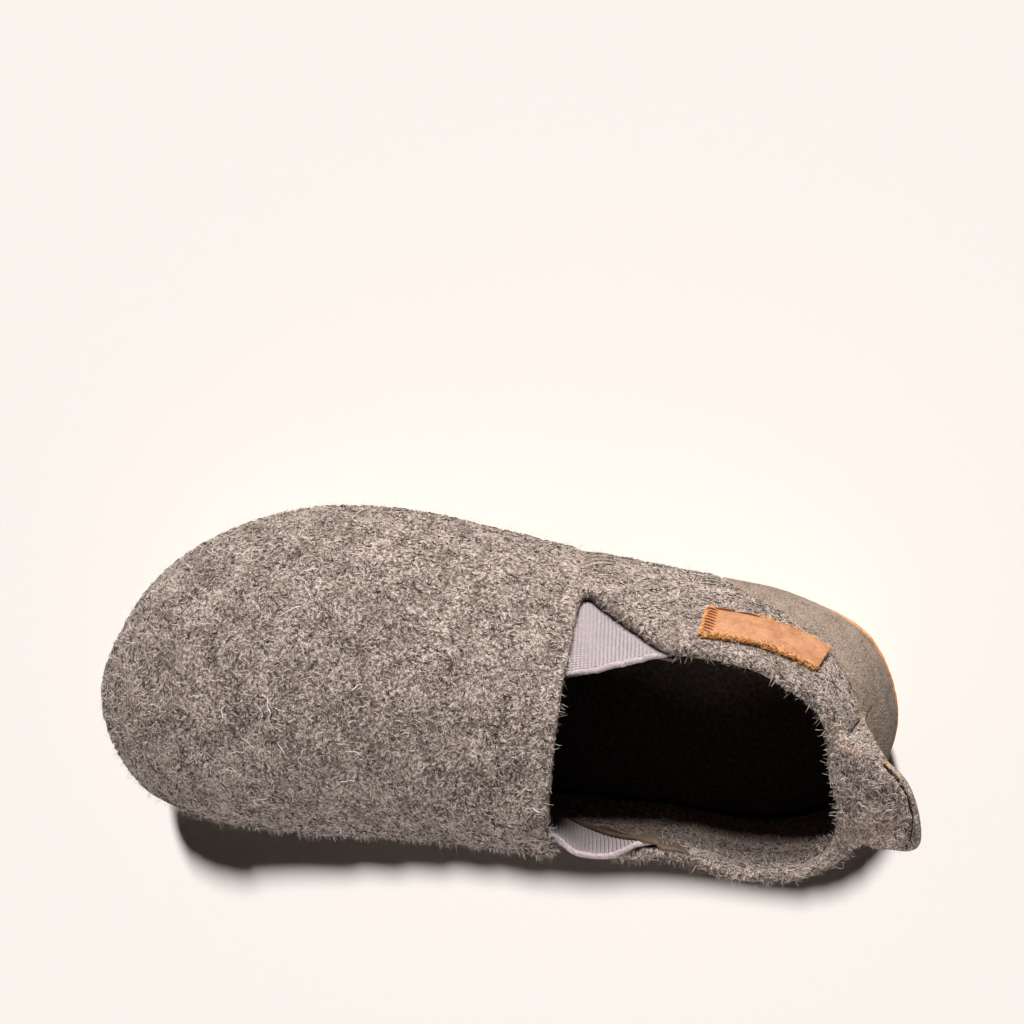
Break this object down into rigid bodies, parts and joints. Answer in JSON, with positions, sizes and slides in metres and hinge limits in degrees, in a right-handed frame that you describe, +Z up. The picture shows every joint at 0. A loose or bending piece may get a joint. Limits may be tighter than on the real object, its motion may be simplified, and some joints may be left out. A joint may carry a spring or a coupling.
{
  "type": "wool felt slipper",
  "caption": "Child's slip-on house slipper in wool felt with elastic side gores, a suede heel counter running up a pull tab, a leather side tag and a thin rubber sole.",
  "frame": {"origin": "on the floor under the middle of the slipper's box", "axes": "+X to the toe, -Y to the outer (lateral) side of the foot, +Z up"},
  "size_m": [0.1814, 0.0732, 0.066],
  "materials": {
    "felt": "thick salt-and-pepper grey wool felt with loose fibres",
    "suede": "taupe suede with a short nap",
    "elastic": "finely ribbed pale grey elastic webbing",
    "tag_leather": "plain tan split leather with raw edges",
    "sole_rubber": "matt tan gum rubber",
    "insole_felt": "dark felt"
  },
  "bodies": {
    "root": {"upper": "felt", "heel_counter": "suede", "gore_lateral": "elastic", "gore_medial": "elastic", "side_tag": "tag_leather", "outsole": "sole_rubber", "insole": "insole_felt"}
  },
  "joints": []
}
